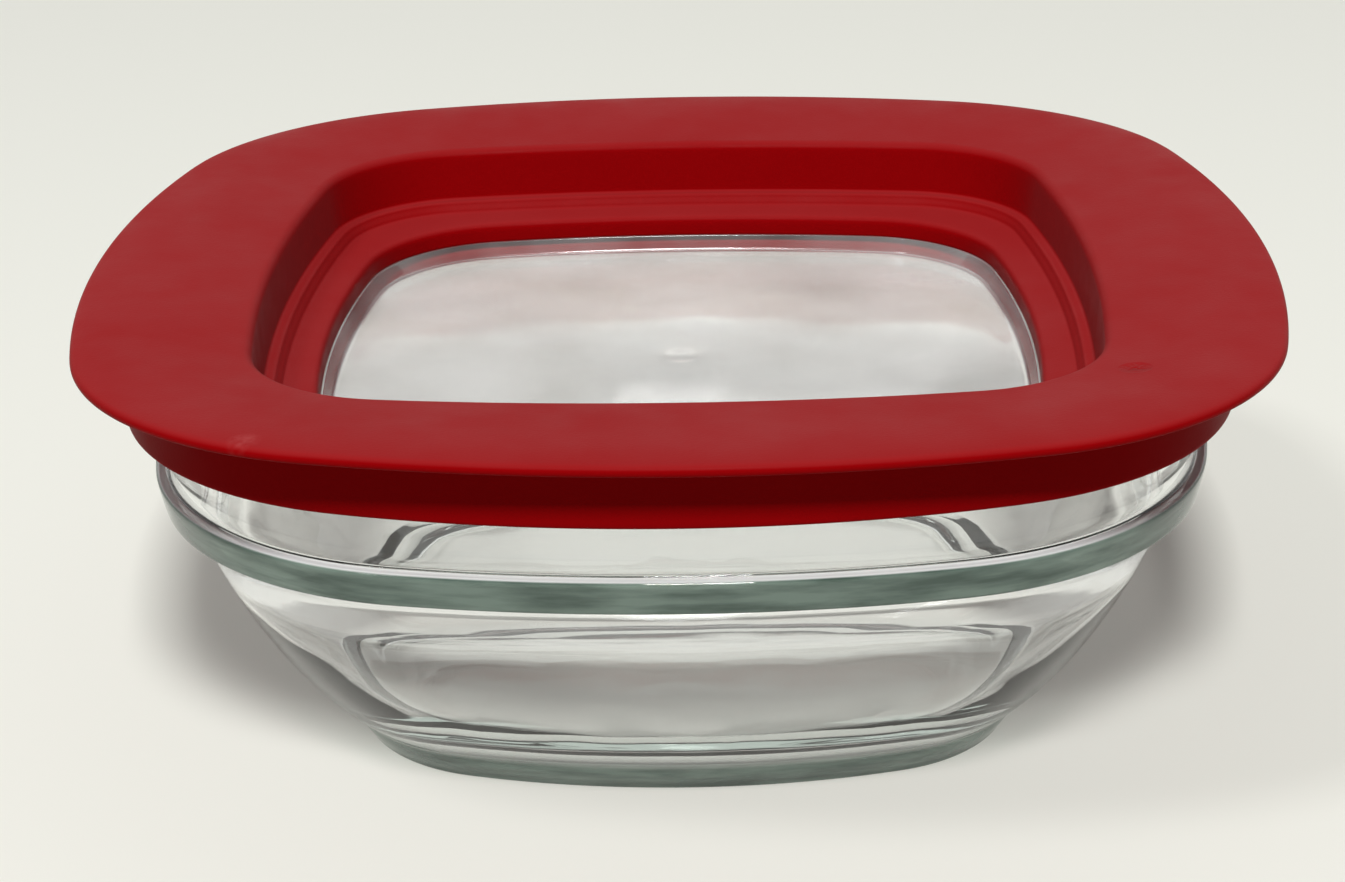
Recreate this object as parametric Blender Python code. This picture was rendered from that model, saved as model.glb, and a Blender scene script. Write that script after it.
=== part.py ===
"""Square glass food container with a lift-off lid.

Three pieces: a pressed-glass bowl, the lid's soft moulded rim, and the clear window held in that rim.
Metres, +Z up. The origin is at the centre of the face that the bowl stands on.
"""

import math

import bmesh
import bpy
from mathutils import Vector
from mathutils.geometry import interpolate_bezier

MM = 0.001

# Glass bowl: the lip that the lid fits over
LIP_HALF_WIDTH = 82.6 * MM
LIP_SIDE_RADIUS = 164.0 * MM
LIP_CORNER_RADIUS = 45.6 * MM
LIP_HEIGHT = 5.1 * MM
LIP_FLARE_HEIGHT = 3.5 * MM
LIP_WALL = 4.8 * MM
BOWL_HEIGHT = 65.1 * MM

# Glass bowl: the thick band round the shoulder, and the side below it
BAND_TOP = 46.9 * MM
BAND_HEIGHT = 5.2 * MM
BAND_BELOW_LIP = 0.8 * MM
BAND_SIDE_RADIUS = 199.0 * MM
BAND_CORNER_RADIUS = 49.4 * MM
BAND_DRAFT = 0.85 * MM
BAND_LEDGE = 1.9 * MM
BAND_EDGE = 0.5 * MM
BAND_UNDERCUT = 5.0 * MM
SIDE_CORNER_RADIUS = 38.0 * MM
SIDE_LOW_RUN = 5.6 * MM
SIDE_LOW_RISE = 5.0 * MM
SIDE_HIGH_RUN = 4.8 * MM
SIDE_HIGH_FALL = 16.5 * MM

# Glass bowl: the inside, which steps in behind the band
COLLAR_WALL = 3.73 * MM
INNER_COLLAR_HEIGHT = 5.1 * MM
INNER_STEP_TOP = 1.2 * MM
INNER_STEP_FALL = 5.25 * MM
INNER_STEP_RUN = 4.71 * MM
INNER_WALL_FALL = 6.5 * MM
INNER_WALL_DRAFT = 0.2 * MM
INNER_LOW_RUN = 0.55 * MM
INNER_LOW_FALL = 5.8 * MM
INNER_CORNER_RADIUS = 32.0 * MM

# Glass bowl: foot ring and floor
FOOT_SIDE_RADIUS = 122.8 * MM
FOOT_CORNER_RADIUS = 24.6 * MM
FOOT_HEIGHT = 4.5 * MM
FOOT_DRAFT = 1.5 * MM
FOOT_SHOULDER = 1.0 * MM
FOOT_EDGE = 0.9 * MM
FOOT_RING_WIDTH = 5.2 * MM
FOOT_RECESS = 1.5 * MM
FLOOR_THICKNESS = 5.6 * MM
FLOOR_EDGE_INSET = 3.0 * MM
FLOOR_ROUNDING = 6.5 * MM

# Lid rim: skirt, flange and sealing rib
SKIRT_CLEARANCE = 0.5 * MM
SKIRT_THICKNESS = 3.0 * MM
SKIRT_DEPTH = 8.9 * MM
SKIRT_EDGE = 0.6 * MM
FLANGE_OVERHANG = 5.9 * MM
FLANGE_SIDE_RADIUS = 218.0 * MM
FLANGE_CORNER_RADIUS = 50.3 * MM
FLANGE_THICKNESS = 2.7 * MM
FLANGE_EDGE = 1.9 * MM
FLANGE_CROWN = 0.25 * MM
FLANGE_CROWN_INSET = 5.7 * MM
FLANGE_FALL = 1.6 * MM
FLANGE_BEND_INSET = 15.5 * MM
FLANGE_BEND_FALL = 0.5 * MM
RIB_CLEARANCE = 0.6 * MM
RIB_THICKNESS = 2.0 * MM
RIB_DEPTH = 5.4 * MM
RIB_TAPER = 0.5 * MM

# Lid rim: the stepped well that a second container's foot stacks in
WELL_INSET = 16.5 * MM
WELL_SIDE_RADIUS = 307.0 * MM
WELL_CORNER_RADIUS = 25.2 * MM
WELL_ROLL = 1.7 * MM
WELL_DRAFT = 0.5 * MM
WELL_WALL = 2.1 * MM
LEDGE_DEPTH = 10.6 * MM
LEDGE_WIDTH = 1.9 * MM
STEP_HEIGHT = 1.9 * MM
STEP_DRAFT = 0.6 * MM
SHELF_WIDTH = 5.1 * MM
SHELF_FALL = 0.5 * MM
SHELF_EDGE = 1.2 * MM
THROAT_HEIGHT = 3.2 * MM

# Clear window: a shallow tray whose edge is moulded into the rim
WINDOW_SIDE_RADIUS = 231.0 * MM
WINDOW_CORNER_RADIUS = 23.6 * MM
WINDOW_REVEAL = 0.4 * MM
WINDOW_DEPTH = 2.6 * MM
WINDOW_DRAFT = 0.7 * MM
WINDOW_THICKNESS = 1.5 * MM
WINDOW_ROUNDING = 0.8 * MM
TONGUE_WIDTH = 1.4 * MM
TONGUE_THICKNESS = 1.3 * MM
HOLDER_THICKNESS = 1.4 * MM

# Fits
SEAT_GAP = 0.3 * MM
MOULDED_GAP = 0.3 * MM
NEST_CLEARANCE = 0.7 * MM

# Facets of each outline, and of each rounded profile
SIDE_STEPS = 3
CORNER_STEPS = 8
WALL_STEPS = 7
FLARE_STEPS = 3
ROLL_STEPS = 3

# Angles, in degrees: where the flange's rolled edge begins and ends, and the sharpest edge shaded smooth
FLANGE_EDGE_START = -60.0
FLANGE_EDGE_END = 80.0
SMOOTH_ANGLE = 40.0


class Outline:
    """A square outline with bowed sides and round corners, all tangent circular arcs."""

    def __init__(self, half_width, side_radius, corner_radius):
        self.half_width = half_width
        self.side_radius = side_radius
        self.corner_radius = corner_radius

    def inset(self, distance):
        """The parallel outline that lies this far inside; a negative distance lies outside."""
        return Outline(
            self.half_width - distance,
            self.side_radius - distance,
            self.corner_radius - distance,
        )

    def blend(self, other, share):
        """An outline part of the way to another one."""
        return Outline(
            self.half_width + share * (other.half_width - self.half_width),
            self.side_radius + share * (other.side_radius - self.side_radius),
            self.corner_radius + share * (other.corner_radius - self.corner_radius),
        )

    def quarter(self):
        """Points from the middle of the +X side, round one corner, to just before the +Y middle."""
        bow = self.side_radius - self.half_width
        reach = self.side_radius - self.corner_radius
        corner = (-bow + math.sqrt(2.0 * reach * reach - bow * bow)) / 2.0
        tangent = math.atan2(corner, corner + bow)
        points = []
        for step in range(SIDE_STEPS):
            angle = tangent * step / SIDE_STEPS
            points.append((self.side_radius * math.cos(angle) - bow, self.side_radius * math.sin(angle)))
        for step in range(CORNER_STEPS):
            angle = tangent + (math.pi / 2.0 - 2.0 * tangent) * step / CORNER_STEPS
            x = corner + self.corner_radius * math.cos(angle)
            y = corner + self.corner_radius * math.sin(angle)
            points.append((x, y))
        for step in range(SIDE_STEPS):
            angle = tangent * (SIDE_STEPS - step) / SIDE_STEPS
            points.append((self.side_radius * math.sin(angle), self.side_radius * math.cos(angle) - bow))
        return points

    def ring(self, height):
        """All the points of the outline, at one height."""
        points = self.quarter()
        ring = []
        for _ in range(4):
            ring.extend(Vector((x, y, height)) for x, y in points)
            points = [(-y, x) for x, y in points]
        return ring


def material(name, colour, roughness, transmission=0.0, ior=1.5):
    """A plain material in the piece's own colour."""
    made = bpy.data.materials.new(name)
    made.use_nodes = True
    shader = made.node_tree.nodes["Principled BSDF"]
    shader.inputs["Base Color"].default_value = (*colour, 1.0)
    shader.inputs["Roughness"].default_value = roughness
    shader.inputs["Metallic"].default_value = 0.0
    shader.inputs["Transmission Weight"].default_value = transmission
    shader.inputs["IOR"].default_value = ior
    made.diffuse_color = (*colour, 1.0)
    return made


def loft(name, sections, surface, parent=None, ring_shaped=False):
    """A solid through the sections, each an outline and a height.

    A ring-shaped solid's sections run once round its wall and meet; other solids are capped flat.
    """
    mesh = bpy.data.meshes.new(name)
    shape = bmesh.new()
    rings = []
    for outline, height in sections:
        rings.append([shape.verts.new(point) for point in outline.ring(height)])
    pairs = list(zip(rings, rings[1:]))
    if ring_shaped:
        pairs.append((rings[-1], rings[0]))
    else:
        shape.faces.new(rings[0])
        shape.faces.new(rings[-1])
    for first, second in pairs:
        for index in range(len(first)):
            after = (index + 1) % len(first)
            shape.faces.new((first[index], first[after], second[after], second[index]))
    bmesh.ops.recalc_face_normals(shape, faces=shape.faces)
    shape.to_mesh(mesh)
    shape.free()
    mesh.shade_smooth()
    mesh.set_sharp_from_angle(angle=math.radians(SMOOTH_ANGLE))
    mesh.materials.append(surface)
    piece = bpy.data.objects.new(name, mesh)
    piece.parent = parent
    bpy.context.collection.objects.link(piece)
    return piece


def rounded(outline, depth, height, radius, start, end):
    """Sections round a fillet, centred at a depth inside the outline; angles run from outwards to up."""
    sections = []
    for step in range(ROLL_STEPS + 1):
        angle = math.radians(start + (end - start) * step / ROLL_STEPS)
        distance = depth - radius * math.cos(angle)
        sections.append((outline.inset(distance), height + radius * math.sin(angle)))
    return sections


def curve(start, start_handle, end_handle, end, steps):
    """Points (half width, height) along one Bezier curve."""
    knots = [Vector((width, height, 0.0)) for width, height in (start, start_handle, end_handle, end)]
    return [(point.x, point.y) for point in interpolate_bezier(*knots, steps)]


def along(points, narrow, wide):
    """Sections through points (half width, height), each with an outline between a narrow and a wide one."""
    span = wide.half_width - narrow.half_width
    sections = []
    for width, height in points:
        sections.append((narrow.blend(wide, (width - narrow.half_width) / span), height))
    return sections


# Outlines that the pieces share
LIP = Outline(LIP_HALF_WIDTH, LIP_SIDE_RADIUS, LIP_CORNER_RADIUS)
BAND = Outline(LIP_HALF_WIDTH - BAND_BELOW_LIP, BAND_SIDE_RADIUS, BAND_CORNER_RADIUS)
SKIRT = LIP.inset(-SKIRT_CLEARANCE - SKIRT_THICKNESS)
FLANGE = Outline(SKIRT.half_width + FLANGE_OVERHANG, FLANGE_SIDE_RADIUS, FLANGE_CORNER_RADIUS)
WELL = Outline(LIP_HALF_WIDTH - WELL_INSET, WELL_SIDE_RADIUS, WELL_CORNER_RADIUS)
THROAT = Outline(
    WELL.half_width - WELL_ROLL - WELL_DRAFT - LEDGE_WIDTH - STEP_DRAFT - SHELF_WIDTH,
    WINDOW_SIDE_RADIUS,
    WINDOW_CORNER_RADIUS,
)
WINDOW = THROAT.inset(WINDOW_REVEAL)
DISH = WINDOW.inset(WINDOW_DRAFT)
TRAY = WINDOW.inset(-WINDOW_THICKNESS)
TONGUE = TRAY.inset(-TONGUE_WIDTH)
FOOT = Outline(DISH.half_width - NEST_CLEARANCE, FOOT_SIDE_RADIUS, FOOT_CORNER_RADIUS)

# Heights in the lid's own frame, whose zero is the underside that rests on the bowl's lip
LEDGE_LEVEL = FLANGE_THICKNESS - LEDGE_DEPTH
SHELF_LEVEL = LEDGE_LEVEL - STEP_HEIGHT
THROAT_LEVEL = SHELF_LEVEL - SHELF_FALL - THROAT_HEIGHT
WINDOW_TOP = THROAT_LEVEL - MOULDED_GAP
WINDOW_FLOOR = WINDOW_TOP - WINDOW_DEPTH
WINDOW_UNDERSIDE = WINDOW_FLOOR - WINDOW_THICKNESS
TONGUE_BOTTOM = WINDOW_TOP - TONGUE_THICKNESS


def bowl_sections():
    """The bowl's wall, from the recess under its foot, up the outside, over the lip and down inside."""
    foot_top = FOOT.inset(-FOOT_DRAFT)
    wall_foot = foot_top.inset(-FOOT_SHOULDER)
    band_foot = BAND.inset(BAND_DRAFT)
    wall_head = BAND.inset(BAND_UNDERCUT)
    wall_head.corner_radius = SIDE_CORNER_RADIUS
    collar = BAND.inset(BAND_LEDGE)
    band_bottom = BAND_TOP - BAND_HEIGHT
    flare_top = BOWL_HEIGHT - LIP_HEIGHT
    wall_low = FOOT_HEIGHT + FOOT_SHOULDER / 2.0
    wall_high = band_bottom - BAND_DRAFT / 2.0

    sections = [(FOOT.inset(FOOT_RING_WIDTH + FOOT_RECESS), FOOT_RECESS)]
    sections.append((FOOT.inset(FOOT_RING_WIDTH), 0.0))
    sections += rounded(FOOT, FOOT_EDGE, FOOT_EDGE, FOOT_EDGE, -90.0, 0.0)
    sections += [(foot_top, FOOT_HEIGHT - FOOT_DRAFT), (foot_top.inset(-FOOT_DRAFT / 2.0), FOOT_HEIGHT)]

    # The swelling side, whose corners tighten from the band down to the foot
    wall = curve(
        (wall_foot.half_width, wall_low),
        (wall_foot.half_width + SIDE_LOW_RUN, wall_low + SIDE_LOW_RISE),
        (wall_head.half_width - SIDE_HIGH_RUN, wall_high - SIDE_HIGH_FALL),
        (wall_head.half_width, wall_high),
        WALL_STEPS,
    )
    sections += along(wall, wall_foot, wall_head)

    # The band with its ledge, and the collar that flares out to the lip under the lid's skirt
    sections += [(band_foot.inset(BAND_EDGE), band_bottom), (band_foot, band_bottom + BAND_EDGE)]
    sections += [(BAND, BAND_TOP - BAND_EDGE), (BAND.inset(BAND_EDGE), BAND_TOP)]
    sections += [(collar.inset(-BAND_EDGE), BAND_TOP), (collar, BAND_TOP + BAND_EDGE)]
    flare_low = flare_top - LIP_FLARE_HEIGHT
    flare_middle = (flare_low + flare_top) / 2.0
    flare = curve(
        (collar.half_width, flare_low),
        (collar.half_width, flare_middle),
        (LIP.half_width, flare_middle),
        (LIP.half_width, flare_top),
        FLARE_STEPS + 1,
    )
    sections += along(flare, collar, LIP)
    crest = LIP_WALL / 2.0
    sections += rounded(LIP, crest, BOWL_HEIGHT - crest, crest, 0.0, 90.0)
    sections += rounded(LIP, crest, BOWL_HEIGHT - crest, crest, 90.0, 180.0)[1:]

    # The inside steps in behind the band, then runs down to the rounded edge of the floor
    floor = FOOT_RECESS + FLOOR_THICKNESS
    inner_collar = collar.inset(COLLAR_WALL)
    inner_head = inner_collar.inset(INNER_STEP_RUN)
    inner_head.corner_radius = INNER_CORNER_RADIUS
    inner_wall = inner_head.inset(INNER_WALL_DRAFT)
    floor_edge = FOOT.inset(FLOOR_EDGE_INSET)
    step_top = BAND_TOP - INNER_STEP_TOP
    step_end = step_top - INNER_STEP_FALL
    wall_end = step_end - INNER_WALL_FALL
    sections += [(inner_collar, BAND_TOP + INNER_COLLAR_HEIGHT), (inner_collar, step_top)]
    sections.append((inner_head, step_end))
    inside = curve(
        (inner_wall.half_width, wall_end),
        (inner_wall.half_width - INNER_LOW_RUN, wall_end - INNER_LOW_FALL),
        (floor_edge.half_width + FLOOR_ROUNDING, floor),
        (floor_edge.half_width, floor),
        WALL_STEPS + 1,
    )
    sections += along(inside, floor_edge, inner_wall)
    return sections


def rim_sections():
    """Once round the rim's wall: over the flange, down the well, round the window and out underneath."""
    half_edge = FLANGE_EDGE / 2.0
    well_level = FLANGE_THICKNESS - FLANGE_FALL
    edge_level = FLANGE_THICKNESS - half_edge
    sections = rounded(FLANGE, half_edge, edge_level, half_edge, FLANGE_EDGE_START, FLANGE_EDGE_END)
    crown = (FLANGE.half_width - FLANGE_CROWN_INSET, FLANGE_THICKNESS + FLANGE_CROWN)
    bend = (FLANGE.half_width - FLANGE_BEND_INSET, FLANGE_THICKNESS - FLANGE_BEND_FALL)
    sections += along((crown, bend), WELL, FLANGE)
    sections += rounded(WELL, 0.0, well_level - WELL_ROLL, WELL_ROLL, FLANGE_EDGE_END, 180.0)

    # The well: wall, ledge, step, shelf and the throat over the window
    wall = WELL.inset(WELL_ROLL)
    ledge = wall.inset(WELL_DRAFT)
    step = ledge.inset(LEDGE_WIDTH)
    shelf = step.inset(STEP_DRAFT)
    sections += [(ledge, LEDGE_LEVEL + WELL_DRAFT), (ledge.inset(WELL_DRAFT), LEDGE_LEVEL)]
    sections += [(step, LEDGE_LEVEL), (shelf, SHELF_LEVEL + STEP_DRAFT)]
    sections.append((shelf.inset(STEP_DRAFT), SHELF_LEVEL))
    shelf_end = SHELF_LEVEL - SHELF_FALL
    sections += rounded(THROAT, -SHELF_EDGE, shelf_end - SHELF_EDGE, SHELF_EDGE, 90.0, 180.0)
    sections.append((THROAT, THROAT_LEVEL))

    # The groove that grips the window's tongue, and the collar round the window's edge
    groove = TONGUE.inset(-MOULDED_GAP)
    collar = TRAY.inset(-MOULDED_GAP)
    outside = groove.inset(-HOLDER_THICKNESS)
    groove_bottom = TONGUE_BOTTOM - MOULDED_GAP
    sections += [(groove, THROAT_LEVEL), (groove, groove_bottom), (collar, groove_bottom)]
    sections += [(collar, WINDOW_UNDERSIDE), (outside.inset(HOLDER_THICKNESS / 2.0), WINDOW_UNDERSIDE)]
    sections.append((outside, WINDOW_UNDERSIDE + HOLDER_THICKNESS / 2.0))

    # The underside, at one wall's thickness below the well
    step_back = step.inset(-WELL_WALL)
    wall_back = wall.inset(-WELL_WALL)
    sections.append((outside, shelf_end - WELL_WALL))
    sections += [(step_back, SHELF_LEVEL - WELL_WALL), (step_back, LEDGE_LEVEL - WELL_WALL)]
    sections += [(wall_back.inset(WELL_DRAFT), LEDGE_LEVEL - WELL_WALL), (wall_back, LEDGE_LEVEL)]
    sections.append((wall_back, -FLANGE_FALL))

    # The sealing rib inside the lip, the channel over the lip, and the skirt outside it
    rib = LIP.inset(LIP_WALL + RIB_CLEARANCE)
    skirt_inside = LIP.inset(-SKIRT_CLEARANCE)
    half_rib = RIB_THICKNESS / 2.0
    sections += [(rib.inset(RIB_THICKNESS), 0.0), (rib.inset(RIB_THICKNESS), RIB_TAPER - RIB_DEPTH)]
    sections += [(rib.inset(half_rib), -RIB_DEPTH), (rib.inset(RIB_TAPER), RIB_TAPER - RIB_DEPTH)]
    sections += [(rib, 0.0), (skirt_inside, 0.0), (skirt_inside, SKIRT_EDGE - SKIRT_DEPTH)]
    sections += [(skirt_inside.inset(-SKIRT_EDGE), -SKIRT_DEPTH), (SKIRT.inset(SKIRT_EDGE), -SKIRT_DEPTH)]
    sections += [(SKIRT, SKIRT_EDGE - SKIRT_DEPTH), (SKIRT, -SKIRT_EDGE), (SKIRT.inset(-SKIRT_EDGE), 0.0)]
    return sections


def window_sections():
    """The tray, from the middle of its top, out and up its edge, and back underneath."""
    soft = WINDOW_ROUNDING
    bare = WINDOW_REVEAL / 2.0
    sections = rounded(DISH, soft, WINDOW_FLOOR + soft, -soft, 90.0, 180.0)
    sections += [(WINDOW, WINDOW_TOP - bare), (WINDOW.inset(-bare), WINDOW_TOP)]
    sections += [(TONGUE, WINDOW_TOP), (TONGUE, TONGUE_BOTTOM), (TRAY, TONGUE_BOTTOM)]
    sections += [(TRAY, WINDOW_UNDERSIDE + soft), (TRAY.inset(soft), WINDOW_UNDERSIDE)]
    return sections


def build():
    """Clear the scene and model the container."""
    for old in list(bpy.data.objects):
        bpy.data.objects.remove(old)
    glass = material("pressed_glass", (0.78, 0.88, 0.84), 0.02, transmission=1.0, ior=1.52)
    red = material("soft_red_plastic", (0.45, 0.02, 0.03), 0.5)
    clear = material("clear_plastic", (0.93, 0.93, 0.92), 0.08, transmission=1.0, ior=1.49)

    # The lid's parts hang from one empty on the line along which the lid lifts
    lid = bpy.data.objects.new("lid", None)
    lid.location = (0.0, 0.0, BOWL_HEIGHT + SEAT_GAP)
    bpy.context.collection.objects.link(lid)

    loft("glass_bowl", bowl_sections(), glass)
    loft("lid_rim", rim_sections(), red, parent=lid, ring_shaped=True)
    loft("lid_window", window_sections(), clear, parent=lid)


build()
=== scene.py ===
"""Dresses a square glass food container: pressed-glass bowl, soft red lid rim and clear lid window.

Run as a script. Metres, +Z up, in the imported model's own frame.
"""

import math

import bmesh
import bpy
from bpy.props import FloatProperty, FloatVectorProperty, PointerProperty
from mathutils import Matrix, Vector


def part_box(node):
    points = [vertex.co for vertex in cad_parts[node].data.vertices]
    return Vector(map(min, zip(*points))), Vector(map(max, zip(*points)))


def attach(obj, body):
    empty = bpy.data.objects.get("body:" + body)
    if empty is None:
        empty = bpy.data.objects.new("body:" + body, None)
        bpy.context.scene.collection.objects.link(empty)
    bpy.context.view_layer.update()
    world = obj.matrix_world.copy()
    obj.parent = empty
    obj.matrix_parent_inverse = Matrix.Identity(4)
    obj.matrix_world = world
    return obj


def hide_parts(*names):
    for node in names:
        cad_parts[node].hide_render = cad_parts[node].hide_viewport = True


bl_info = {
    "name": "Glass Container Dressing",
    "version": (1, 0, 0),
    "blender": (4, 5, 0),
    "location": "View3D > Sidebar > Container",
    "description": "Models and finishes the bowl, lid rim and lid window of a square glass food container",
    "category": "Object",
}

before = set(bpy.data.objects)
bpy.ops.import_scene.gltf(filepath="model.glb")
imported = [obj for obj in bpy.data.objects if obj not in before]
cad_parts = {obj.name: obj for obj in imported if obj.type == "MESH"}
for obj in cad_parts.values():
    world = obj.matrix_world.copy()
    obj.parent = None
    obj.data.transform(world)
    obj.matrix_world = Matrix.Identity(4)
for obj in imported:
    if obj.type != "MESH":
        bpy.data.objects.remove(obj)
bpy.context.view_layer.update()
BOWL_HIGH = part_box("glass_bowl")[1]
RIM_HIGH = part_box("lid_rim")[1]
PANE_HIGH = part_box("lid_window")[1]

MM = 0.001

# Mesh density: points round each outline, and steps along each curved stretch of a profile
RING_POINTS = 240
CORNER_CROWDING = 0.35
WALL_STEPS = 14
ROLL_STEPS = 3
MERGE_DISTANCE = 0.001 * MM

# Mesh rings: how far one lies from a crease to hold it, and the ones that close the middle of a flat face
HOLDING_GAP = 1.0 * MM
CENTRE_RADIUS = 1.0 * MM
MIDDLE_RADIUS = 4.0 * MM
HALFWAY = 0.5

# Glass bowl: lip and collar; the flare's run at its start and middle, and its rise there, are shares
LIP_SIDE_RADIUS = 164.0 * MM
LIP_CORNER_RADIUS = 45.6 * MM
LIP_HEIGHT = 5.1 * MM
LIP_FLARE_HEIGHT = 3.5 * MM
LIP_FLARE_START = 0.04
LIP_FLARE_MIDDLE = 0.5
LIP_FLARE_RISE = 0.6
LIP_WALL = 4.8 * MM

# Glass bowl: band round the shoulder, and the side below it; the inner step eases in over a share of itself
BAND_TOP = 46.9 * MM
BAND_HEIGHT = 5.2 * MM
BAND_BELOW_LIP = 0.8 * MM
BAND_SIDE_RADIUS = 199.0 * MM
BAND_CORNER_RADIUS = 49.4 * MM
BAND_DRAFT = 0.85 * MM
BAND_LEDGE = 1.9 * MM
BAND_EDGE = 0.5 * MM
BAND_UNDERCUT = 5.0 * MM
COLLAR_WALL = 3.73 * MM
INNER_COLLAR_HEIGHT = 5.1 * MM
INNER_STEP_TOP = 1.2 * MM
INNER_STEP_FALL = 5.25 * MM
INNER_STEP_RUN = 4.71 * MM
INNER_STEP_EASE = 0.1
INNER_WALL_FALL = 6.5 * MM
INNER_WALL_DRAFT = 0.2 * MM
INNER_LOW_RUN = 0.55 * MM
INNER_LOW_FALL = 5.8 * MM
INNER_CORNER_RADIUS = 32.0 * MM
SIDE_CORNER_RADIUS = 38.0 * MM
SIDE_LOW_RUN = 5.6 * MM
SIDE_LOW_RISE = 5.0 * MM
SIDE_HIGH_RUN = 4.8 * MM
SIDE_HIGH_FALL = 16.5 * MM

# Glass bowl: foot ring and floor
FOOT_HALF_WIDTH = 54.5 * MM
FOOT_SIDE_RADIUS = 122.8 * MM
FOOT_CORNER_RADIUS = 24.6 * MM
FOOT_HEIGHT = 4.5 * MM
FOOT_DRAFT = 1.5 * MM
FOOT_SHOULDER = 1.0 * MM
FOOT_EDGE = 0.9 * MM
FOOT_RING_WIDTH = 5.2 * MM
FOOT_RECESS = 1.5 * MM
FLOOR_THICKNESS = 5.6 * MM
FLOOR_EDGE_INSET = 3.0 * MM
FLOOR_ROUNDING = 6.5 * MM

# Glass bowl: how far from the foot, the band's top and the ledge their colours fade out; the thick parts are
# painted green and darker as painted shade, and the ledge pale as a painted highlight
FOOT_FADE = 5.0 * MM
BAND_FADE = 0.05 * MM
LEDGE_FULL = 0.025 * MM
LEDGE_FADE = 0.125 * MM

# Glass bowl: streaks in the painted green of its thick parts, in repeats per metre along them, their
# flattening and contrast
STREAK_SCALE = 70.0
STREAK_DETAIL = 6.0
STREAK_FLATNESS = 7.0
STREAK_LOW, STREAK_HIGH = 0.35, 0.65

# Lid rim: flange, skirt and sealing rib
SEAT_GAP = 0.3 * MM
SKIRT_CLEARANCE = 0.5 * MM
SKIRT_THICKNESS = 3.0 * MM
SKIRT_DEPTH = 8.9 * MM
SKIRT_EDGE = 0.6 * MM
FLANGE_SIDE_RADIUS = 218.0 * MM
FLANGE_CORNER_RADIUS = 50.3 * MM
FLANGE_THICKNESS = 2.7 * MM
FLANGE_EDGE = 1.9 * MM
FLANGE_ROLL_START = -60.0
FLANGE_CROWN = 0.25 * MM
FLANGE_FALL = 1.6 * MM
FLANGE_SWAY = 0.25 * MM
RIB_CLEARANCE = 0.6 * MM
RIB_THICKNESS = 2.0 * MM
RIB_DEPTH = 5.4 * MM
RIB_TAPER = 0.5 * MM

# Lid rim: the flange's top, as shares of its width from the edge, of its crown and of its fall to the well
FLANGE_TOP = ((0.12, 0.7, 0.0), (0.3, 0.7, 0.0), (0.6, 0.0, 0.3))
FLANGE_INNER_WIDTH = 0.85
FLANGE_INNER_FALL = 0.72

# Lid rim: the flange's sway, as waves with a share of it, a count round the rim and a start in radians
SWAY_WAVES = ((0.5, 2.0, 0.7), (0.3, 3.0, 2.1), (0.2, 5.0, 0.0))

# Lid rim: a sink mark on the flange and a scuff on its edge
SINK_PLACE = (63.6 * MM, -56.6 * MM, 68.0 * MM)
SINK_RADIUS = 2.6 * MM
SINK_DEPTH = 1.0 * MM
SCUFF_PLACE = (-56.0 * MM, -81.8 * MM, 67.5 * MM)
SCUFF_RADIUS = 2.6 * MM

# Lid rim: stepped well
WELL_INSET = 16.5 * MM
WELL_SIDE_RADIUS = 307.0 * MM
WELL_CORNER_RADIUS = 25.2 * MM
WELL_ROLL = 1.7 * MM
WELL_ROLL_START = 85.0
WELL_DRAFT = 0.5 * MM
WELL_WALL = 2.1 * MM
LEDGE_DEPTH = 10.6 * MM
LEDGE_WIDTH = 1.9 * MM
STEP_HEIGHT = 1.9 * MM
STEP_DRAFT = 0.6 * MM
SHELF_FALL = 0.5 * MM
SHELF_EDGE = 1.2 * MM
THROAT_HEIGHT = 3.2 * MM

# Lid window: a shallow clear tray whose edge is moulded into the rim
PANE_SIDE_RADIUS = 231.0 * MM
PANE_CORNER_RADIUS = 23.6 * MM
PANE_REVEAL = 0.4 * MM
PANE_DEPTH = 2.6 * MM
PANE_DRAFT = 0.7 * MM
PANE_THICKNESS = 1.5 * MM
PANE_ROUNDING = 0.8 * MM
PANE_FLAT_EDGE = 3.2 * MM
TONGUE_WIDTH = 1.4 * MM
TONGUE_THICKNESS = 1.3 * MM
HOLDER_THICKNESS = 1.4 * MM
MOULD_BITE = 0.15 * MM
GATE_MARK_RADIUS = 1.6 * MM
GATE_MARK_DEPTH = 0.12 * MM
GATE_MARK_RINGS = (2.0, 4.0)

# Finishes: noise, as its scale in repeats per metre, its detail and the values that it ranges between
GLASS_SMEAR = (90.0, 2.0, 0.0, 0.03)
GLASS_WAVES = (55.0, 1.0, 0.0, 1.0)
# Patches of painted sheen on the rim's upward faces
RIM_PAINTED_SHEEN = (40.0, 4.0, 0.7, 1.0)
RIM_DULLNESS = (110.0, 3.0, 0.36, 0.5)
RIM_GRAIN = (2200.0, 2.0, 0.0, 1.0)
SINK_GRAIN = (700.0, 2.0, 0.3, 1.0)
SCUFF_GRAIN = (900.0, 3.0, 0.0, 1.0)
WINDOW_SMEAR = (30.0, 3.0, 0.05, 0.2)
WINDOW_WAVES = (40.0, 1.0, 0.0, 1.0)
# The window's hazy patches, whose paler spots also paint soft highlights
HAZE_AND_HIGHLIGHT_SCALE = 38.0
HAZE_AND_HIGHLIGHT_DETAIL = 4.0
NOISE_LOW, NOISE_HIGH = 0.3, 0.7

# Finishes: bending of light in clear walls, and the share of it that they let straight through
CLEAR_COLOUR = (1.0, 1.0, 1.0)
GLASS_IOR = 1.52
GLASS_PASSES = 0.95
WINDOW_COLOUR = (0.97, 0.97, 0.96)
WINDOW_IOR = 1.57
WINDOW_PASSES = 0.96
WINDOW_WAVE_DEPTH = 0.1 * MM
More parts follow.
